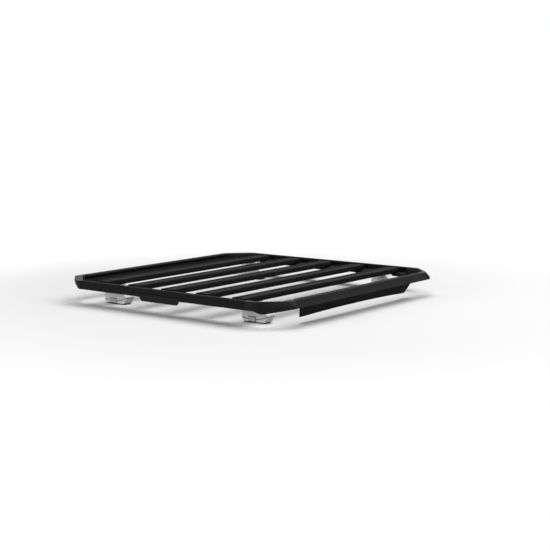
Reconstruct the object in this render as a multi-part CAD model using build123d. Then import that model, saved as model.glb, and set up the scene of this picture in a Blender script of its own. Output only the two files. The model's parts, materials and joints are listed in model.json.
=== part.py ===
"""Flat platform roof rack.

Five T-slot slats lie on the ledges of two side rails. A front rail and a rear rail close the frame
through four moulded corners. A folded wind deflector hangs under the front rail, a plate hangs from
each side rail, and four clamp feet carry the first and the last slat.

While it is modelled, the deck's top is z = 0 and the middle slat is at x = 0, with +X forward,
+Y to the left and +Z up. At the end everything moves so that the origin is on the floor, at the
middle of the rack's footprint.
"""
import math
import os

from build123d import *

# Deck
RACK_WIDTH = 1500.0          # over the outer faces of the side rails
DECK_LENGTH = 1436.0         # over the top edges of the rear and front rails
SLAT_COUNT = 5
SLAT_PITCH = 229.0

# Slats
SLAT_WIDTH = 80.0
SLAT_HEIGHT = 28.0
SLAT_TOP_RADIUS = 6.0
SLAT_LOWER_RADIUS = 12.0
SLAT_WALL = 2.0
SLAT_END_GAP = 30.0          # between a slat's end and the rail it faces
SLAT_SLOT_SETBACK = 15.0     # upper T-slot, rearward of the slat's middle
SLOT_ENTRY = 22.0            # length at each end where the lips are cut away to let a T-bolt in

# T-slots
SLOT_MOUTH = 10.5
SLOT_LIP = 2.5
SLOT_WIDTH = 20.5
SLOT_DEPTH = 8.0

# Rails
RAIL_HEIGHT = 44.5
RAIL_WALL = 2.5
RAIL_EDGE_RADIUS = 2.0
RAIL_SLOT_DROP = 12.75       # from the deck's top to the middle of the rails' inner T-slot
RAIL_ENTRY = 18.0            # length at each end where a rail's T-slot is open from above
SIDE_TOP = 27.0              # width of a side rail's flat top
LEDGE_WIDTH = 67.0           # ledge that carries the slats' ends
FRONT_TOP = 34.0
FRONT_RAKE = 26.5            # how far the front rail's face runs forward on its way down
FRONT_FACE_DROP = 35.5       # from the deck's top to the front rail's nose
FRONT_BREAK_RUN = 14.0       # the face turns flatter here: distance forward of its top edge
FRONT_BREAK_DROP = 22.0
FRONT_BREAK_RADIUS = 12.0
FRONT_NOSE_RADIUS = 1.5
REAR_TOP = 48.0
REAR_UNDERCUT = 18.0         # how far the rear face runs inward on its way down
REAR_BREAK_RUN = 4.0         # the same where the face turns further inward
REAR_BREAK_DROP = 20.0
REAR_INNER_FLARE = 12.0      # how far the rear rail's inner face runs forward below its T-slot
REAR_FLARE_DROP = 21.0

# Moulded corners
CORNER_FRONT_LENGTH = 184.0  # from the deck's front edge back to the seam with the side rail
CORNER_REAR_LENGTH = 162.5   # from the deck's rear edge to that seam
CORNER_FRONT_REACH = 168.0   # from the deck's side in to the seam with the front rail
CORNER_REAR_REACH = 148.0    # the same at the rear rail
CORNER_FRONT_CHAMFER = 124.0
CORNER_REAR_CHAMFER = 118.0
CORNER_SIDE_RADIUS = 70.0    # where the chamfer meets the side
CORNER_END_RADIUS = 45.0     # where the chamfer meets the deck's end
CORNER_NOSE_RADIUS = 10.0    # the same lower down on a front corner
CORNER_LEAN = 22.4           # how far a front corner's front end runs forward on its way down
CORNER_LEAN_DROP = 22.0      # below this it is upright
CORNER_NECK = 25.0           # part next to the front rail that carries on the rail's section
CORNER_FRONT_ARM = 69.0      # straight of a front corner's inner wall next to the side rail
CORNER_REAR_ARM = 11.5       # the same on a rear corner
CORNER_WALL = 3.5
CORNER_TIP_DROP = 16.2       # how far a front corner's lower edge dips under the rails
CORNER_TIP_SETBACK = 93.5    # from the deck's front edge back to the lowest point
CORNER_DIP_START = 55.5      # from the side seam to where the lower edge starts to dip
CORNER_DIP_RADIUS = 50.0
CORNER_TIP_RADIUS = 30.0

# Wind deflector
DEFLECTOR_SHEET = 2.0
DEFLECTOR_SETBACK = 57.0     # from the front rail's nose back to the fold, along its underside
DEFLECTOR_FLANGE = 24.0      # flange on the front rail's underside, forward of the fold
DEFLECTOR_FOLD_RADIUS = 3.5
DEFLECTOR_END_INSET = 68.0   # from the corner's seam in to the panel's upper end
DEFLECTOR_DROP = 57.1        # height of the panel
DEFLECTOR_LEAN = 26.0        # how far the panel runs back on its way down
DEFLECTOR_END_SLANT = 31.0
DEFLECTOR_ARCH = 8.3         # how much higher the lower edge is at mid-width
DEFLECTOR_CORNER_RADIUS = 5.0

# Plates under the side rails
PLATE_THICKNESS = 2.5
PLATE_TOP_LENGTH = 288.0
PLATE_LOWER_LENGTH = 237.0
PLATE_TOP_DROP = 29.0
PLATE_HEIGHT = 35.0
PLATE_RADIUS = 3.0

# Feet
FOOT_SPREAD = 7.0            # how far a foot's middle lies outside its slat's middle
FOOT_HEIGHT = 102.0          # from the slat's underside to the floor
FOOT_DEPTH = 60.0
FOOT_INSET = 142.0           # from the rack's side in to the foot's outer face
FOOT_REAR_REACH = 55.0
FOOT_FRONT_REACH = 100.0
FOOT_SEAT_LENGTH = 80.0
FOOT_SHOULDER = 15.0         # height of the sloped part below the seat
FOOT_HEEL_DROP = 77.0        # lower edge of the housing at its rear end, below the slat
FOOT_BELLY_DROP = 84.0       # the same at its lowest
FOOT_NOSE_DROP = 66.0        # the same at its front end
FOOT_NOSE_HEIGHT = 6.0
FOOT_SEAL = 3.0
FOOT_SEAL_INSET = 1.5
FOOT_BASE_TUCK = 8.0         # how far the base draws in at its lower edge
FOOT_PAD_HEIGHT = 6.0
FOOT_PAD_INSET = 3.0
FOOT_EDGE_RADIUS = 4.0
LATCH_LENGTH = 44.0
LATCH_HEIGHT = 22.0
LATCH_THICKNESS = 3.0
LATCH_RADIUS = 3.0
LATCH_OFFSET = 8.0           # forward from the foot's middle
LATCH_OVERLAP = 10.0         # how far the latch reaches below the housing's lower edge

# Places that several pieces share
HALF_WIDTH = RACK_WIDTH / 2
HALF_LENGTH = DECK_LENGTH / 2
FRONT_SIDE_SEAM = HALF_LENGTH - CORNER_FRONT_LENGTH
REAR_SIDE_SEAM = HALF_LENGTH - CORNER_REAR_LENGTH
SIDE_LENGTH = FRONT_SIDE_SEAM + REAR_SIDE_SEAM
SIDE_MIDDLE = (FRONT_SIDE_SEAM - REAR_SIDE_SEAM) / 2
FRONT_SEAM = HALF_WIDTH - CORNER_FRONT_REACH
REAR_SEAM = HALF_WIDTH - CORNER_REAR_REACH
SLAT_LENGTH = RACK_WIDTH - 2 * SIDE_TOP - 2 * SLAT_END_GAP
SLOT_TOTAL = SLOT_LIP + SLOT_DEPTH
FRONT_NOSE = Vector(HALF_LENGTH + FRONT_RAKE, -FRONT_FACE_DROP)

# Planes for profiles: (x, z) drawn at mid-width, and (y, z) drawn at mid-length
CROSSWISE = Plane(origin=(0, 0, 0), x_dir=(1, 0, 0), z_dir=(0, -1, 0))
LENGTHWISE = Plane(origin=(0, 0, 0), x_dir=(0, 1, 0), z_dir=(1, 0, 0))


def rounded(points, radii):
    """Closed outline with its own radius at each corner."""
    return make_face(FilletPolyline(*points, radius=radii, close=True))


def slot_opening():
    """T-slot seen end on: its mouth is at the origin and opens upwards."""
    mouth = Pos(0, -SLOT_LIP / 2) * Rectangle(SLOT_MOUTH, SLOT_LIP)
    chamber = Pos(0, -SLOT_LIP - SLOT_DEPTH / 2) * Rectangle(SLOT_WIDTH, SLOT_DEPTH)
    return mouth + chamber


def hollow_profile(outline, wall, slot_places):
    """Extruded section: an even wall inside the outline and round each T-slot."""
    core = offset(outline, -wall)
    block = Pos(0, -(SLOT_TOTAL + wall) / 2) * Rectangle(SLOT_WIDTH + 2 * wall, SLOT_TOTAL + wall)
    for place in slot_places:
        core -= place * block
    section = outline - core
    for place in slot_places:
        section -= place * slot_opening()
    return section


def slat_positions():
    """Middle of each slat along the deck, from the rear."""
    first = -SLAT_PITCH * (SLAT_COUNT - 1) / 2
    return [first + SLAT_PITCH * number for number in range(SLAT_COUNT)]


def make_slat():
    """Slat with a T-slot above and below, and the upper lips cut away at both ends."""
    half = SLAT_WIDTH / 2
    outline = rounded(
        [(-half, 0), (half, 0), (half, -SLAT_HEIGHT), (-half, -SLAT_HEIGHT)],
        [SLAT_TOP_RADIUS, SLAT_TOP_RADIUS, SLAT_LOWER_RADIUS, SLAT_LOWER_RADIUS],
    )
    top_slot = Location((-SLAT_SLOT_SETBACK, 0))
    lower_slot = Location((0, -SLAT_HEIGHT), (0, 0, 180))
    section = hollow_profile(outline, SLAT_WALL, [top_slot, lower_slot])
    slat = extrude(CROSSWISE * section, SLAT_LENGTH / 2, both=True)
    entry = Box(SLOT_WIDTH, SLOT_ENTRY, SLOT_LIP, align=(Align.CENTER, Align.MAX, Align.MAX))
    end = SLAT_LENGTH / 2
    slat -= Pos(-SLAT_SLOT_SETBACK, end, 0) * entry
    slat -= Pos(-SLAT_SLOT_SETBACK, SLOT_ENTRY - end, 0) * entry
    return slat


def make_rail(plane, outline, inner, outward, half):
    """Hollow rail with a T-slot in its inner face, open from above at both ends to let a T-bolt in."""
    slot = Location((inner, -RAIL_SLOT_DROP), (0, 0, 90 * outward))
    rail = extrude(plane * hollow_profile(outline, RAIL_WALL, [slot]), half, both=True)
    entry_drop = RAIL_SLOT_DROP - SLOT_MOUTH / 2
    entry = plane * Pos(inner + outward * SLOT_TOTAL / 2, -entry_drop / 2) * Rectangle(SLOT_TOTAL, entry_drop)
    between_entries = extrude(entry, half - RAIL_ENTRY, both=True)
    return rail - (extrude(entry, half, both=True) - between_entries)


def make_side_rail():
    """Left side rail: a box with an inner T-slot, and the ledge that carries the slats."""
    outer = HALF_WIDTH
    inner = HALF_WIDTH - SIDE_TOP
    ledge = inner - LEDGE_WIDTH
    outline = rounded(
        [
            (outer, 0),
            (inner, 0),
            (inner, -SLAT_HEIGHT),
            (ledge, -SLAT_HEIGHT),
            (ledge, -RAIL_HEIGHT),
            (outer, -RAIL_HEIGHT),
        ],
        [RAIL_EDGE_RADIUS, 0, 0, RAIL_EDGE_RADIUS, RAIL_EDGE_RADIUS, RAIL_EDGE_RADIUS],
    )
    return Pos(SIDE_MIDDLE, 0, 0) * make_rail(LENGTHWISE, outline, inner, 1, SIDE_LENGTH / 2)


def front_outline():
    """Front rail end on: a wedge whose raked face turns flatter towards the nose."""
    inner = HALF_LENGTH - FRONT_TOP
    return rounded(
        [
            (inner, 0),
            (HALF_LENGTH, 0),
            (HALF_LENGTH + FRONT_BREAK_RUN, -FRONT_BREAK_DROP),
            (FRONT_NOSE.X, FRONT_NOSE.Y),
            (inner, -RAIL_HEIGHT),
        ],
        [0, RAIL_EDGE_RADIUS, FRONT_BREAK_RADIUS, FRONT_NOSE_RADIUS, RAIL_EDGE_RADIUS],
    )


def make_front_rail():
    """Front rail with an inner T-slot."""
    return make_rail(CROSSWISE, front_outline(), HALF_LENGTH - FRONT_TOP, 1, FRONT_SEAM)


def make_rear_rail():
    """Rear rail: undercut behind, with an inner T-slot above a flared lower face."""
    top = -HALF_LENGTH
    inner = top + REAR_TOP
    outline = rounded(
        [
            (top, 0),
            (top + REAR_BREAK_RUN, -REAR_BREAK_DROP),
            (top + REAR_UNDERCUT, -RAIL_HEIGHT),
            (inner + REAR_INNER_FLARE, -RAIL_HEIGHT),
            (inner, -REAR_FLARE_DROP),
            (inner, 0),
        ],
        [RAIL_EDGE_RADIUS, 0, RAIL_EDGE_RADIUS, RAIL_EDGE_RADIUS, 0, 0],
    )
    return make_rail(CROSSWISE, outline, inner, -1, REAR_SEAM)


def corner_outline(lean, side_cut, end_cut, end_radius):
    """Outer edges of a left corner from above, with its end moved forward by lean.

    The chamfer takes side_cut off the side and end_cut off the end.
    """
    end = HALF_LENGTH + lean
    return rounded(
        [
            (0, HALF_WIDTH),
            (end - side_cut, HALF_WIDTH),
            (end, HALF_WIDTH - end_cut),
            (end, 0),
            (0, 0),
        ],
        [0, CORNER_SIDE_RADIUS, end_radius, 0, 0],
    )


def corner_region(side_seam, arm, end_top, end_seam):
    """Space of a left corner from above: outside its inner wall and beyond both seams."""
    inner_end = HALF_LENGTH - end_top
    inner_side = HALF_WIDTH - SIDE_TOP
    wall_start = side_seam + arm
    return make_face(
        Polyline(
            (side_seam, RACK_WIDTH),
            (side_seam, inner_side),
            (wall_start, inner_side),
            (inner_end, inner_side - (inner_end - wall_start)),
            (inner_end, end_seam),
            (DECK_LENGTH, end_seam),
            (DECK_LENGTH, RACK_WIDTH),
            close=True,
        )
    )


def corner_shell(region, side_seam, levels):
    """Corner moulding, open below, with a flap over the ledge.

    Each level is a drop below the deck's top, followed by the values of the outline there.
    """
    depth = levels[-1][0]

    def block(inset):
        outlines = [
            Pos(0, 0, -drop) * offset(corner_outline(*outline), -inset)
            for drop, *outline in levels
        ]
        return loft(outlines, ruled=True) & extrude(Pos(0, 0, -inset) * offset(region, -inset), -depth)

    body = block(0) - block(CORNER_WALL)
    ledge_cover = Box(CORNER_WALL, LEDGE_WIDTH + CORNER_WALL, RAIL_HEIGHT - SLAT_HEIGHT,
                      align=(Align.MIN, Align.MAX, Align.MAX))
    return body + Pos(side_seam, HALF_WIDTH - SIDE_TOP + CORNER_WALL, -SLAT_HEIGHT) * ledge_cover


def make_front_corner():
    """Front left corner: its face turns from upright to raked, its lower edge dips, and its neck is solid."""
    depth = RAIL_HEIGHT + CORNER_TIP_DROP + CORNER_TIP_RADIUS
    end_cut = CORNER_FRONT_CHAMFER
    side_cut = CORNER_FRONT_CHAMFER + CORNER_LEAN
    levels = [
        (0, 0, end_cut, end_cut, CORNER_END_RADIUS),
        (CORNER_LEAN_DROP, CORNER_LEAN, side_cut, end_cut, CORNER_NOSE_RADIUS),
        (depth, CORNER_LEAN, side_cut, end_cut, CORNER_NOSE_RADIUS),
    ]
    region = corner_region(FRONT_SIDE_SEAM, CORNER_FRONT_ARM, FRONT_TOP, FRONT_SEAM + CORNER_NECK)
    shell = corner_shell(region, FRONT_SIDE_SEAM, levels)
    neck = Pos(0, FRONT_SEAM, 0) * extrude(CROSSWISE * front_outline(), -CORNER_NECK)
    far = FRONT_NOSE.X
    tip = HALF_LENGTH - CORNER_TIP_SETBACK
    rise = (RAIL_HEIGHT + CORNER_TIP_DROP - FRONT_FACE_DROP) / (far - tip)
    beyond = far + depth
    below = -2 * depth
    underside = rounded(
        [
            (FRONT_SIDE_SEAM, -RAIL_HEIGHT),
            (FRONT_SIDE_SEAM + CORNER_DIP_START, -RAIL_HEIGHT),
            (tip, -RAIL_HEIGHT - CORNER_TIP_DROP),
            (beyond, -FRONT_FACE_DROP + rise * (beyond - far)),
            (beyond, below),
            (FRONT_SIDE_SEAM, below),
        ],
        [0, CORNER_DIP_RADIUS, CORNER_TIP_RADIUS, 0, 0, 0],
    )
    return shell - extrude(CROSSWISE * underside, -RACK_WIDTH) + neck


def make_rear_corner():
    """Rear left corner, drawn as if it were a front one and turned to the rear afterwards.

    Its chamfer is undercut as far as the rear face, and its side is upright.
    """
    levels = []
    for drop, undercut in ((0, 0), (REAR_BREAK_DROP, REAR_BREAK_RUN), (RAIL_HEIGHT, REAR_UNDERCUT)):
        cut = CORNER_REAR_CHAMFER + undercut * (math.sqrt(2) - 1)
        levels.append((drop, -undercut, cut, cut, CORNER_END_RADIUS))
    region = corner_region(REAR_SIDE_SEAM, CORNER_REAR_ARM, REAR_TOP, REAR_SEAM)
    return mirror(corner_shell(region, REAR_SIDE_SEAM, levels), about=Plane.YZ)


def make_deflector():
    """Sheet folded once: its flange lies under the front rail and its panel hangs, leaning back."""
    inner_edge = Vector(HALF_LENGTH - FRONT_TOP, -RAIL_HEIGHT)
    under = (inner_edge - FRONT_NOSE).normalized()
    fold = FRONT_NOSE + under * DEFLECTOR_SETBACK
    low = fold + Vector(-DEFLECTOR_LEAN, -DEFLECTOR_DROP)
    hang = (low - fold).normalized()
    under_side = Vector(-under.Y, under.X)
    hang_side = Vector(-hang.Y, hang.X)
    mitre = (under_side + hang_side) / (1 + under_side.dot(hang_side))
    flange_end = fold - under * DEFLECTOR_FLANGE
    points = [
        flange_end,
        fold,
        low,
        low + hang_side * DEFLECTOR_SHEET,
        fold + mitre * DEFLECTOR_SHEET,
        flange_end + under_side * DEFLECTOR_SHEET,
    ]
    inside_radius = DEFLECTOR_FOLD_RADIUS - DEFLECTOR_SHEET
    section = rounded([(p.X, p.Y) for p in points], [0, DEFLECTOR_FOLD_RADIUS, 0, 0, inside_radius, 0])
    sheet = extrude(CROSSWISE * section, FRONT_SEAM, both=True)
    return sheet & extrude(LENGTHWISE * deflector_front_view(fold.Y, low.Y), 2 * HALF_LENGTH)


def deflector_front_view(fold_level, low_level):
    """Front view of the deflector: slanted ends below the fold and an arched lower edge."""
    half = FRONT_SEAM - DEFLECTOR_END_INSET
    low_half = half - DEFLECTOR_END_SLANT
    ends = FilletPolyline(
        (-low_half + DEFLECTOR_END_SLANT, low_level),
        (-low_half, low_level),
        (-half, fold_level),
        (-half, 0),
        (half, 0),
        (half, fold_level),
        (low_half, low_level),
        (low_half - DEFLECTOR_END_SLANT, low_level),
        radius=[DEFLECTOR_CORNER_RADIUS, 0, 0, 0, 0, DEFLECTOR_CORNER_RADIUS],
    )
    arch = ThreePointArc(ends @ 1, (0, low_level + DEFLECTOR_ARCH), ends @ 0)
    return make_face([*ends.edges(), arch])


def make_side_plate():
    """Left side plate: it overlaps the rail's face and hangs below it with slanted ends."""
    top = -PLATE_TOP_DROP
    low = top - PLATE_HEIGHT
    outline = rounded(
        [
            (-PLATE_TOP_LENGTH / 2, top),
            (PLATE_TOP_LENGTH / 2, top),
            (PLATE_LOWER_LENGTH / 2, low),
            (-PLATE_LOWER_LENGTH / 2, low),
        ],
        PLATE_RADIUS,
    )
    return Pos(0, HALF_WIDTH, 0) * extrude(CROSSWISE * outline, -PLATE_THICKNESS)


def foot_seam(drop):
    """Curved lower edge of a foot's housing in side view, moved down by drop."""
    return ThreePointArc(
        (-FOOT_REAR_REACH, -FOOT_HEEL_DROP - drop),
        ((FOOT_FRONT_REACH - FOOT_REAR_REACH) / 2, -FOOT_BELLY_DROP - drop),
        (FOOT_FRONT_REACH, -FOOT_NOSE_DROP - drop),
    )


def foot_solid(edges, inset):
    """Side view of a piece of a foot, given its width between the foot's two faces."""
    face = make_face(edges)
    return extrude(CROSSWISE * face, FOOT_DEPTH / 2 - inset, both=True)


def make_foot():
    """Pieces of one left foot, with the slat's underside at z = 0 and the foot's middle at x = 0."""
    seat = FOOT_SEAT_LENGTH / 2
    seam = foot_seam(0)
    housing_top = Polyline(
        seam @ 0,
        (-FOOT_REAR_REACH, -FOOT_SHOULDER),
        (-seat, 0),
        (seat, 0),
        (FOOT_FRONT_REACH, FOOT_NOSE_HEIGHT - FOOT_NOSE_DROP),
        seam @ 1,
    )
    housing = foot_solid([seam, *housing_top.edges()], 0)
    housing = chamfer(housing.faces().filter_by(Axis.Y).edges(), FOOT_SEAL_INSET)

    seal_low = foot_seam(FOOT_SEAL)
    seal_ends = [Line(seam @ 0, seal_low @ 0), Line(seam @ 1, seal_low @ 1)]
    seal = foot_solid([seam, seal_low, *seal_ends], FOOT_SEAL_INSET)

    base_low = FOOT_PAD_HEIGHT - FOOT_HEIGHT
    base_ends = Polyline(
        seal_low @ 0,
        (-FOOT_REAR_REACH + FOOT_BASE_TUCK, base_low),
        (FOOT_FRONT_REACH - 2 * FOOT_BASE_TUCK, base_low),
        seal_low @ 1,
    )
    base = foot_solid([seal_low, *base_ends.edges()], 0)

    pad_length = FOOT_REAR_REACH + FOOT_FRONT_REACH - 3 * FOOT_BASE_TUCK - 2 * FOOT_PAD_INSET
    pad_width = FOOT_DEPTH - 2 * FOOT_PAD_INSET
    pad_middle = (FOOT_FRONT_REACH - FOOT_REAR_REACH - FOOT_BASE_TUCK) / 2
    pad_outline = RectangleRounded(pad_length, pad_width, FOOT_EDGE_RADIUS)
    pad = Pos(pad_middle, 0, -FOOT_HEIGHT) * extrude(pad_outline, FOOT_PAD_HEIGHT)

    latch_outline = RectangleRounded(LATCH_LENGTH, LATCH_HEIGHT, LATCH_RADIUS)
    latch_middle = -FOOT_BELLY_DROP - LATCH_OVERLAP + LATCH_HEIGHT / 2
    latch = Pos(LATCH_OFFSET, FOOT_DEPTH / 2, latch_middle) * extrude(
        CROSSWISE * latch_outline, -LATCH_THICKNESS
    )
    return {"housing": housing, "seal": seal, "base": base, "pad": pad, "latch": latch}


def pair(name, left):
    """A left piece and its mirror image on the right."""
    return {f"{name}_left": left, f"{name}_right": mirror(left, about=Plane.XZ)}


def build_rack():
    """Every piece by name, with the deck's top at z = 0."""
    rack = {}
    slat = make_slat()
    positions = slat_positions()
    for number, place in enumerate(positions, start=1):
        rack[f"slat_{number}"] = Pos(place, 0, 0) * slat
    rack |= pair("side_rail", make_side_rail())
    rack["front_rail"] = make_front_rail()
    rack["rear_rail"] = make_rear_rail()
    rack |= pair("corner_front", make_front_corner())
    rack |= pair("corner_rear", make_rear_corner())
    rack["wind_deflector"] = make_deflector()
    rack |= pair("side_plate", make_side_plate())
    foot_y = HALF_WIDTH - FOOT_INSET - FOOT_DEPTH / 2
    for end, place in (("front", positions[-1] + FOOT_SPREAD), ("rear", positions[0] - FOOT_SPREAD)):
        for piece, solid in make_foot().items():
            rack |= pair(f"foot_{end}_{piece}", Pos(place, foot_y, -SLAT_HEIGHT) * solid)
    return rack


def stand_on_floor(rack):
    """Moves the rack so that the origin is under the middle of its box, on the floor."""
    boxes = [solid.bounding_box() for solid in rack.values()]
    rear = min(box.min.X for box in boxes)
    front = max(box.max.X for box in boxes)
    floor = min(box.min.Z for box in boxes)
    shift = Pos(-(rear + front) / 2, 0, -floor)
    return {name: shift * solid for name, solid in rack.items()}


os.makedirs("parts", exist_ok=True)
for node, solid in stand_on_floor(build_rack()).items():
    export_step(solid, f"parts/{node}.step")
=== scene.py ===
"""Looks of the flat platform roof rack: finishes, fasteners, near-black strips painted as the shadow at
joints, floor, soft light and camera.

The CAD pieces keep their places and shapes. Lengths are in metres, +X is forward, +Y is left and +Z is up.
"""
import json
import math
from collections import namedtuple

import bmesh
import bpy
from mathutils import Matrix, Vector


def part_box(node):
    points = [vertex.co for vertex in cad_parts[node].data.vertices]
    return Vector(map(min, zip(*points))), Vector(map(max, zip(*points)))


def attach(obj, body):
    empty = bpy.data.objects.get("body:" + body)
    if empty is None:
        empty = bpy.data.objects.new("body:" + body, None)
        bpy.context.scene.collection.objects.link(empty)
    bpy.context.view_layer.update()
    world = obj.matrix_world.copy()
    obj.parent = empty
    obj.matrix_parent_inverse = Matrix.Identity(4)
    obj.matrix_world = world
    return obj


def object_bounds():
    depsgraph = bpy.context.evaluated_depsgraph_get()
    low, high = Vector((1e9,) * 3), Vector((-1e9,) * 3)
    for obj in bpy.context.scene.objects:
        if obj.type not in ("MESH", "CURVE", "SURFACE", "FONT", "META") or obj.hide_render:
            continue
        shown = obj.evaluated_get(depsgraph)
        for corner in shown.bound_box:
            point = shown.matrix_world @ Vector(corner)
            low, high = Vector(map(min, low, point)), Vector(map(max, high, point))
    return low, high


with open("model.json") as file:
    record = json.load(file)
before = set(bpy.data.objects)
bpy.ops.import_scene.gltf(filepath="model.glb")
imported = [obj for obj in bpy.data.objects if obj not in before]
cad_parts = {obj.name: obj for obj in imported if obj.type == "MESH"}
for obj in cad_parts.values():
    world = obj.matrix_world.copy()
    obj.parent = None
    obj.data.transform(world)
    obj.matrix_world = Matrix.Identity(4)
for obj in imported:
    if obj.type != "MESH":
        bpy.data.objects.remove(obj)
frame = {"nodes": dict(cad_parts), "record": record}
CAD_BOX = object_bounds()

# Places read from the frame
DECK_TOP = CAD_BOX[1][2]
SLAT_LOW, SLAT_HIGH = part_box("slat_3")
DECK_MIDDLE = Vector(((SLAT_LOW.x + SLAT_HIGH.x) / 2, 0, DECK_TOP))
SIDE_LOW, SIDE_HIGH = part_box("side_rail_left")
FRONT_LOW, FRONT_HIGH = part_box("front_rail")
REAR_LOW, REAR_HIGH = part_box("rear_rail")

# Pieces that repeat
SIDES = {"left": 1, "right": -1}      # sign of Y on each side
SLATS = 5

# Sizes of the rails, corners and deflector that the fasteners and joint lines follow
SIDE_TOP = 0.027
FRONT_TOP = 0.034
REAR_TOP = 0.048
REAR_ARM = 0.0115                # straight of a rear corner's inner wall next to the side rail
NOSE_DROP = 0.0355               # front rail's nose below the deck's top
DEFLECTOR_SHEET = 0.002
FRONT_FACE = (                   # front rail's face, (x, z) from the deck's front edge
    (0.0008, -0.0015),
    (0.0140, -0.0220),
    (0.0245, -0.0335),
)

# Socket screws; each recess and hex socket is a flat near-black disc, painted as the shade in that hollow
SCREW_RECESS_SHADE_RADIUS = 0.0090
SCREW_RECESS_SHADE_HEIGHT = 0.0003
SCREW_HEAD_RADIUS = 0.0052
SCREW_HEAD_HEIGHT = 0.0006
SCREW_SOCKET_SHADE_RADIUS = 0.0026
SCREW_SOCKET_SHADE_HEIGHT = 0.0001
ROUND_SIDES = 24
HEXAGON_SIDES = 6

# Where the screws sit
CORNER_SCREW_DROP = 0.012        # below the deck's top
REAR_SLANT_SCREWS = (0.0155, 0.024)   # along X, from the rear rail's inner face and the slant's side end
REAR_END_SCREW = 0.009           # from the rear rail's end
FRONT_SIDE_SCREW = 0.032         # from the side rail's front end
FRONT_END_SCREW = 0.040          # from the front rail's end
FLANGE_SCREWS = 7
FLANGE_SCREW_SETBACK = 0.042     # from the front rail's nose back along its underside
FLANGE_SCREW_INSET = 0.045       # from the deflector's end

# Bolts under the side rails' ledges
BOLT_WASHER_RADIUS = 0.0095
BOLT_WASHER_HEIGHT = 0.0016
BOLT_HEAD_RADIUS = 0.0075
BOLT_HEAD_HEIGHT = 0.0053
LEDGE_BOLT_INSET = 0.0485        # from a side rail's inner face

# Joint lines: near-black strips painted as the shadow in the gaps and steps where pieces meet
JOINT_WIDTH = 0.0030
FRONT_JOINT_WIDTH = 0.0035       # joint on the raked front face
JOINT_PROUD = 0.0002
JOINT_SINK = 0.0008              # depth of a joint line, from its proud face
JOINT_TOP_MARGIN = 0.002
JOINT_LOWER_MARGIN = 0.001
PLATE_JOINT_MARGIN = 0.002       # from a side plate's end
# margin of the painted shadow strip round a latch
LATCH_GAP = 0.0018

# Camera, placed from the middle of the deck
CAMERA_OFFSET = Vector((4.05308, -5.14368, 0.91341))
CAMERA_TURN = (82.003, 0.0, 37.1866)
CAMERA_LENS = 79.73
CAMERA_SENSOR = 36.0

# Light
BACKGROUND_WHITE = 1.0
WORLD_STRENGTH = 0.15
FLOOR_SIZE = 60.0
FLOOR_COLOUR = (0.95, 0.95, 0.955)
FLOOR_BOUNCE = (0.38, 0.38, 0.38)     # floor's colour for the light that it throws back on the rack
FLOOR_FADE = (0.9, 2.2)          # from the floor's middle: where it starts to turn white, and is white
Lamp = namedtuple("Lamp", "place size power")
LAMPS = {
    "overhead": Lamp((0.35, 0.3, 4.0), 4.0, 125.0),
    "front": Lamp((3.2, 1.6, 3.6), 2.5, 60.0),
    "right": Lamp((-1.7, -4.8, 1.4), 3.0, 104.0),
}

# Finishes: grain is the scale of the finest noise and height its bump
Finish = namedtuple("Finish", "colour specular roughness grain height")
POWDER = {"roughness": 0.55, "grain": 1100.0, "height": 0.00008}
MOULDED = {"roughness": 0.42, "grain": 900.0, "height": 0.00006}
FINISHES = {
    "black_extrusion": Finish((0.020, 0.020, 0.0204), 0.008, **POWDER),
    # lighter copy of the black coat for the front rail: a painted sheen on its raked face
    "front_extrusion_painted_sheen": Finish((0.033, 0.033, 0.0336), 0.008, **POWDER),
    "black_sheet": Finish((0.022, 0.022, 0.0224), 0.03, **POWDER),
    "corner_moulding": Finish((0.025, 0.025, 0.0255), 0.04, roughness=0.42, grain=1600.0, height=0.00006),
    "pale_plastic": Finish((0.92, 0.92, 0.925), 0.4, **MOULDED),
    "latch_plastic": Finish((0.60, 0.60, 0.605), 0.4, **MOULDED),
    "rubber": Finish((0.045, 0.045, 0.046), 0.3, roughness=0.75, grain=1300.0, height=0.00010),
    "dark_steel": Finish((0.030, 0.030, 0.031), 0.4, roughness=0.40, grain=1500.0, height=0.00003),
    # near-black for the strips and discs painted as shade in joints, gaps, recesses and sockets
    "painted_shade_black": Finish((0.004, 0.004, 0.004), 0.02, roughness=0.80, grain=900.0, height=0.00002),
}
NOISE_RANGE = (0.3, 0.7)         # where most of a noise's values lie
CLOUD_SCALE = 7.0
CLOUD_DETAIL = 3.0
CLOUD_CHANGE = 0.10              # share by which clouding changes the colour
GLOSS_SCALE = 23.0
GLOSS_DETAIL = 4.0
GLOSS_CHANGE = 0.04              # most that the roughness goes up or down
GRAIN_DETAIL = 2.0
GRAIN_STRENGTH = 0.35


def noise(tree, scale, detail):
    """Noise in the object's own space."""
    place = tree.nodes.new("ShaderNodeTexCoord")
    texture = tree.nodes.new("ShaderNodeTexNoise")
    texture.inputs["Scale"].default_value = scale
    texture.inputs["Detail"].default_value = detail
    tree.links.new(place.outputs["Object"], texture.inputs["Vector"])
    return texture.outputs["Fac"]


def spread(tree, value, low, high):
    """Brings a noise value into the range from low to high."""
    node = tree.nodes.new("ShaderNodeMapRange")
    node.inputs["From Min"].default_value = NOISE_RANGE[0]
    node.inputs["From Max"].default_value = NOISE_RANGE[1]
    node.inputs["To Min"].default_value = low
    node.inputs["To Max"].default_value = high
    tree.links.new(value, node.inputs["Value"])
    return node.outputs["Result"]


def mix_colours(tree, value, first, second):
    """Colour that goes from the first one to the second as the value goes from 0 to 1."""
    node = tree.nodes.new("ShaderNodeMix")
    node.data_type = "RGBA"
    node.inputs["A"].default_value = (*first, 1)
    node.inputs["B"].default_value = (*second, 1)
    tree.links.new(value, node.inputs["Factor"])
    return node.outputs["Result"]


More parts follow.
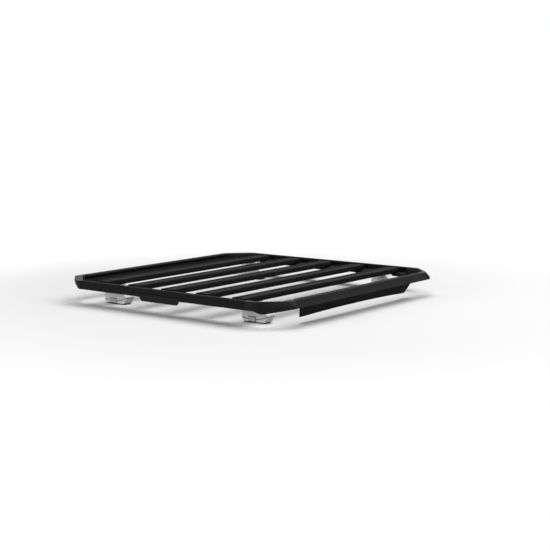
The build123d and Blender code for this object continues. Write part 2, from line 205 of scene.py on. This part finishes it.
def bump(tree, value, height):
    """Bump from a height value."""
    node = tree.nodes.new("ShaderNodeBump")
    node.inputs["Strength"].default_value = GRAIN_STRENGTH
    node.inputs["Distance"].default_value = height
    tree.links.new(value, node.inputs["Height"])
    return node.outputs["Normal"]


def calculate(tree, operation, first, second):
    """Result of an operation on two values."""
    node = tree.nodes.new("ShaderNodeMath")
    node.operation = operation
    tree.links.new(first, node.inputs[0])
    tree.links.new(second, node.inputs[1])
    return node.outputs["Value"]


def empty_tree(owner):
    """Node tree of a material or world, without its default nodes."""
    owner.use_nodes = True
    owner.node_tree.nodes.clear()
    return owner.node_tree


def coat(name):
    """Painted, moulded, rubber or steel finish: fine grain, faint clouding and uneven gloss."""
    finish = FINISHES[name]
    material = bpy.data.materials.new(name)
    tree = empty_tree(material)
    output = tree.nodes.new("ShaderNodeOutputMaterial")
    shader = tree.nodes.new("ShaderNodeBsdfPrincipled")
    tree.links.new(shader.outputs["BSDF"], output.inputs["Surface"])
    clouds = spread(tree, noise(tree, CLOUD_SCALE, CLOUD_DETAIL), 0.0, 1.0)
    dark = [c * (1 - CLOUD_CHANGE) for c in finish.colour]
    light = [c * (1 + CLOUD_CHANGE) for c in finish.colour]
    tree.links.new(mix_colours(tree, clouds, dark, light), shader.inputs["Base Color"])
    uneven = noise(tree, GLOSS_SCALE, GLOSS_DETAIL)
    gloss = spread(tree, uneven, finish.roughness - GLOSS_CHANGE, finish.roughness + GLOSS_CHANGE)
    tree.links.new(gloss, shader.inputs["Roughness"])
    grain = bump(tree, noise(tree, finish.grain, GRAIN_DETAIL), finish.height)
    tree.links.new(grain, shader.inputs["Normal"])
    shader.inputs["Specular IOR Level"].default_value = finish.specular
    return material


def finish_nodes(materials):
    """Gives every CAD node the finish of its material slot; the front rail gets a lighter copy of the black
    coat, a painted sheen, and the latches their own grey.
    """
    for part in frame["record"]["subparts"]:
        name = part["node"]
        finish = part["material_slot"]
        if name == "front_rail":
            finish = "front_extrusion_painted_sheen"
        elif "_latch_" in name:
            finish = "latch_plastic"
        node = frame["nodes"][name]
        node.data.materials.clear()
        node.data.materials.append(materials[finish])


def add_piece(name, mesh, materials):
    """Turns a bmesh into a piece of the rack."""
    data = bpy.data.meshes.new(name)
    mesh.to_mesh(data)
    mesh.free()
    for material in materials:
        data.materials.append(material)
    piece = bpy.data.objects.new(name, data)
    bpy.context.scene.collection.objects.link(piece)
    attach(piece, "root")


def add_disc(mesh, place, facing, start, radius, height, sides, tone=0):
    """Short cylinder or prism that stands on a face, from start to start + height above it."""
    turn = facing.to_track_quat("Z", "Y").to_matrix().to_4x4()
    where = Matrix.Translation(place) @ turn @ Matrix.Translation((0, 0, start + height / 2))
    made = bmesh.ops.create_cone(
        mesh, cap_ends=True, segments=sides, radius1=radius, radius2=radius, depth=height, matrix=where
    )
    for face in {face for vertex in made["verts"] for face in vertex.link_faces}:
        face.material_index = tone


def add_screw(mesh, place, facing):
    """Socket screw; its recess and hex socket are flat near-black discs, painted as the shade in those
    hollows.
    """
    add_disc(mesh, place, facing, 0, SCREW_RECESS_SHADE_RADIUS, SCREW_RECESS_SHADE_HEIGHT, ROUND_SIDES, tone=1)
    start = SCREW_RECESS_SHADE_HEIGHT
    add_disc(mesh, place, facing, start, SCREW_HEAD_RADIUS, SCREW_HEAD_HEIGHT, ROUND_SIDES)
    start += SCREW_HEAD_HEIGHT
    add_disc(mesh, place, facing, start, SCREW_SOCKET_SHADE_RADIUS, SCREW_SOCKET_SHADE_HEIGHT, HEXAGON_SIDES, tone=1)


def add_bolt(mesh, place, facing):
    """Hexagon bolt head on a washer."""
    add_disc(mesh, place, facing, 0, BOLT_WASHER_RADIUS, BOLT_WASHER_HEIGHT, ROUND_SIDES)
    add_disc(mesh, place, facing, BOLT_WASHER_HEIGHT, BOLT_HEAD_RADIUS, BOLT_HEAD_HEIGHT, HEXAGON_SIDES)


def make_corner_screws(materials):
    """Screws in the inner walls of the corners."""
    mesh = bmesh.new()
    level = DECK_TOP - CORNER_SCREW_DROP
    inner_y = SIDE_HIGH.y - SIDE_TOP
    rear_x = REAR_LOW.x + REAR_TOP
    slant_x = SIDE_LOW.x - REAR_ARM
    rear_y = REAR_HIGH.y + REAR_END_SCREW
    front_x = SIDE_HIGH.x + FRONT_SIDE_SCREW
    front_y = FRONT_HIGH.y + FRONT_END_SCREW
    for side in SIDES.values():
        for x in (rear_x + REAR_SLANT_SCREWS[0], slant_x - REAR_SLANT_SCREWS[1]):
            y = inner_y - (slant_x - x)
            add_screw(mesh, Vector((x, side * y, level)), Vector((1, -side, 0)))
        add_screw(mesh, Vector((rear_x, side * rear_y, level)), Vector((1, 0, 0)))
        add_screw(mesh, Vector((front_x, side * inner_y, level)), Vector((0, -side, 0)))
        add_screw(mesh, Vector((FRONT_LOW.x, side * front_y, level)), Vector((-1, 0, 0)))
    add_piece("corner_screws", mesh, materials)


def make_ledge_bolts(materials):
    """Bolts that hold the slats down on the side rails' ledges, seen from below."""
    mesh = bmesh.new()
    y = SIDE_HIGH.y - SIDE_TOP - LEDGE_BOLT_INSET
    for number in range(1, SLATS + 1):
        low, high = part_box(f"slat_{number}")
        for side in SIDES.values():
            add_bolt(mesh, Vector(((low.x + high.x) / 2, side * y, SIDE_LOW.z)), Vector((0, 0, -1)))
    add_piece("ledge_bolts", mesh, materials)


def make_deflector_screws(materials):
    """Screws that hold the wind deflector's flange under the front rail, seen from below."""
    mesh = bmesh.new()
    nose = Vector((FRONT_HIGH.x, 0, DECK_TOP - NOSE_DROP))
    along = (Vector((FRONT_LOW.x, 0, FRONT_LOW.z)) - nose).normalized()
    down = along.cross(Vector((0, 1, 0)))
    place = nose + along * FLANGE_SCREW_SETBACK + down * DEFLECTOR_SHEET
    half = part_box("wind_deflector")[1].y - FLANGE_SCREW_INSET
    for step in range(FLANGE_SCREWS):
        y = half * (2 * step / (FLANGE_SCREWS - 1) - 1)
        add_screw(mesh, place + Vector((0, y, 0)), down)
    add_piece("deflector_screws", mesh, materials)


def add_strip(mesh, path, width, sink):
    """Thin closed strip along a path, as wide as the vector width, let into its face by the vector sink."""
    rows = []
    for point in path:
        one = point - width / 2
        other = point + width / 2
        rows.append([mesh.verts.new(corner) for corner in (one, other, other + sink, one + sink)])
    made = [mesh.faces.new(rows[0]), mesh.faces.new(rows[-1])]
    for first, second in zip(rows, rows[1:]):
        for side in range(len(first)):
            made.append(mesh.faces.new((first[side - 1], first[side], second[side], second[side - 1])))
    bmesh.ops.recalc_face_normals(mesh, faces=made)


def make_joint_shadow_lines(materials):
    """Painted shadow: near-black strips where the corners meet the rails and along the side plates' upper
    edges, standing in for the shade in the gaps and steps there.
    """
    mesh = bmesh.new()
    edge_x = FRONT_LOW.x + FRONT_TOP + JOINT_PROUD
    edge_z = DECK_TOP + JOINT_PROUD
    levels = (DECK_TOP - JOINT_TOP_MARGIN, SIDE_LOW.z + JOINT_LOWER_MARGIN)
    for name, side in SIDES.items():
        y = side * (SIDE_HIGH.y + JOINT_PROUD)
        sink = Vector((0, -side * JOINT_SINK, 0))
        for x in (SIDE_LOW.x, SIDE_HIGH.x):
            add_strip(mesh, [Vector((x, y, level)) for level in levels], Vector((JOINT_WIDTH, 0, 0)), sink)
        face = [Vector((edge_x + x, side * FRONT_HIGH.y, edge_z + z)) for x, z in FRONT_FACE]
        add_strip(mesh, face, Vector((0, FRONT_JOINT_WIDTH, 0)), Vector((-JOINT_SINK, 0, -JOINT_SINK)))
        low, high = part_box(f"side_plate_{name}")
        level = high.z + JOINT_WIDTH / 2
        edge = [Vector((x, y, level)) for x in (low.x + PLATE_JOINT_MARGIN, high.x - PLATE_JOINT_MARGIN)]
        add_strip(mesh, edge, Vector((0, 0, JOINT_WIDTH)), sink)
    add_piece("joint_shadow_lines", mesh, materials)


def make_latch_gap_shadows(materials):
    """Painted shade: a near-black strip round each foot's latch, standing in for the shadow in the gap."""
    mesh = bmesh.new()
    for end in ("front", "rear"):
        for name, side in SIDES.items():
            low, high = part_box(f"foot_{end}_latch_{name}")
            y = (low.y if side > 0 else high.y) + side * JOINT_PROUD
            level = (low.z + high.z) / 2
            ends = [Vector((x, y, level)) for x in (low.x - LATCH_GAP, high.x + LATCH_GAP)]
            width = Vector((0, 0, high.z - low.z + 2 * LATCH_GAP))
            add_strip(mesh, ends, width, Vector((0, -side * JOINT_SINK, 0)))
    add_piece("latch_gap_shadows", mesh, materials)


def make_details(steel, dark):
    """Fasteners, and near-black strips painted as the shadow at joints and round the latches."""
    make_corner_screws([steel, dark])
    make_ledge_bolts([steel])
    make_deflector_screws([steel, dark])
    make_joint_shadow_lines([dark])
    make_latch_gap_shadows([dark])


def seen_rays(tree):
    """1 for rays from the camera and for mirrored or refracted ones, 0 for the rest."""
    path = tree.nodes.new("ShaderNodeLightPath")
    either = calculate(tree, "MAXIMUM", path.outputs["Is Camera Ray"], path.outputs["Is Glossy Ray"])
    return calculate(tree, "MAXIMUM", either, path.outputs["Is Transmission Ray"])


def mix_shaders(tree, output, factor, first, second):
    """Joins two shaders at the output, the second one where the factor is 1."""
    mix = tree.nodes.new("ShaderNodeMixShader")
    tree.links.new(factor, mix.inputs["Fac"])
    tree.links.new(first, mix.inputs[1])
    tree.links.new(second, mix.inputs[2])
    tree.links.new(mix.outputs["Shader"], output.inputs["Surface"])


def fade_outward(tree):
    """0 near the middle of the floor and 1 further away."""
    place = tree.nodes.new("ShaderNodeTexCoord")
    away = tree.nodes.new("ShaderNodeVectorMath")
    away.operation = "LENGTH"
    tree.links.new(place.outputs["Object"], away.inputs[0])
    fade = tree.nodes.new("ShaderNodeMapRange")
    fade.interpolation_type = "SMOOTHSTEP"
    fade.inputs["From Min"].default_value = FLOOR_FADE[0]
    fade.inputs["From Max"].default_value = FLOOR_FADE[1]
    tree.links.new(away.outputs["Value"], fade.inputs["Value"])
    return fade.outputs["Result"]


def floor_material():
    """Pale floor that keeps the shadow near the rack and turns white further away."""
    material = bpy.data.materials.new("floor")
    tree = empty_tree(material)
    output = tree.nodes.new("ShaderNodeOutputMaterial")
    seen = seen_rays(tree)
    pale = tree.nodes.new("ShaderNodeBsdfDiffuse")
    tree.links.new(mix_colours(tree, seen, FLOOR_BOUNCE, FLOOR_COLOUR), pale.inputs["Color"])
    white = tree.nodes.new("ShaderNodeEmission")
    white.inputs["Strength"].default_value = BACKGROUND_WHITE
    factor = calculate(tree, "MULTIPLY", fade_outward(tree), seen)
    mix_shaders(tree, output, factor, pale.outputs["BSDF"], white.outputs["Emission"])
    return material


def make_floor():
    """Plain pale floor under the rack."""
    mesh = bpy.data.meshes.new("floor")
    half = FLOOR_SIZE / 2
    corners = [(-half, -half, 0), (half, -half, 0), (half, half, 0), (-half, half, 0)]
    mesh.from_pydata(corners, [], [(0, 1, 2, 3)])
    floor = bpy.data.objects.new("floor", mesh)
    bpy.context.scene.collection.objects.link(floor)
    mesh.materials.append(floor_material())


def background(tree, strength):
    """Even white surroundings."""
    node = tree.nodes.new("ShaderNodeBackground")
    node.inputs["Color"].default_value = (1, 1, 1, 1)
    node.inputs["Strength"].default_value = strength
    return node.outputs["Background"]


def make_world():
    """White background, with a softer level for the light that falls on the rack."""
    world = bpy.data.worlds.new("studio")
    bpy.context.scene.world = world
    tree = empty_tree(world)
    output = tree.nodes.new("ShaderNodeOutputWorld")
    soft = background(tree, WORLD_STRENGTH)
    white = background(tree, BACKGROUND_WHITE)
    mix_shaders(tree, output, seen_rays(tree), soft, white)


def make_lights():
    """Square soft lamps that face the middle of the deck: overhead, high in front and low to the right."""
    for name, lamp in LAMPS.items():
        data = bpy.data.lights.new(name, "AREA")
        data.shape = "SQUARE"
        data.size = lamp.size
        data.energy = lamp.power
        holder = bpy.data.objects.new(name, data)
        bpy.context.scene.collection.objects.link(holder)
        holder.location = lamp.place
        aim = DECK_MIDDLE - Vector(lamp.place)
        holder.rotation_euler = aim.to_track_quat("-Z", "Y").to_euler()


def make_camera():
    """Camera at the photograph's viewing angle."""
    data = bpy.data.cameras.new("camera")
    data.lens = CAMERA_LENS
    data.sensor_width = CAMERA_SENSOR
    camera = bpy.data.objects.new("camera", data)
    bpy.context.scene.collection.objects.link(camera)
    camera.location = DECK_MIDDLE + CAMERA_OFFSET
    camera.rotation_euler = [math.radians(angle) for angle in CAMERA_TURN]
    bpy.context.scene.camera = camera


bpy.context.scene.view_settings.view_transform = "Standard"
coats = {name: coat(name) for name in FINISHES}
finish_nodes(coats)
make_details(coats["dark_steel"], coats["painted_shade_black"])
make_floor()
make_world()
make_lights()
make_camera()
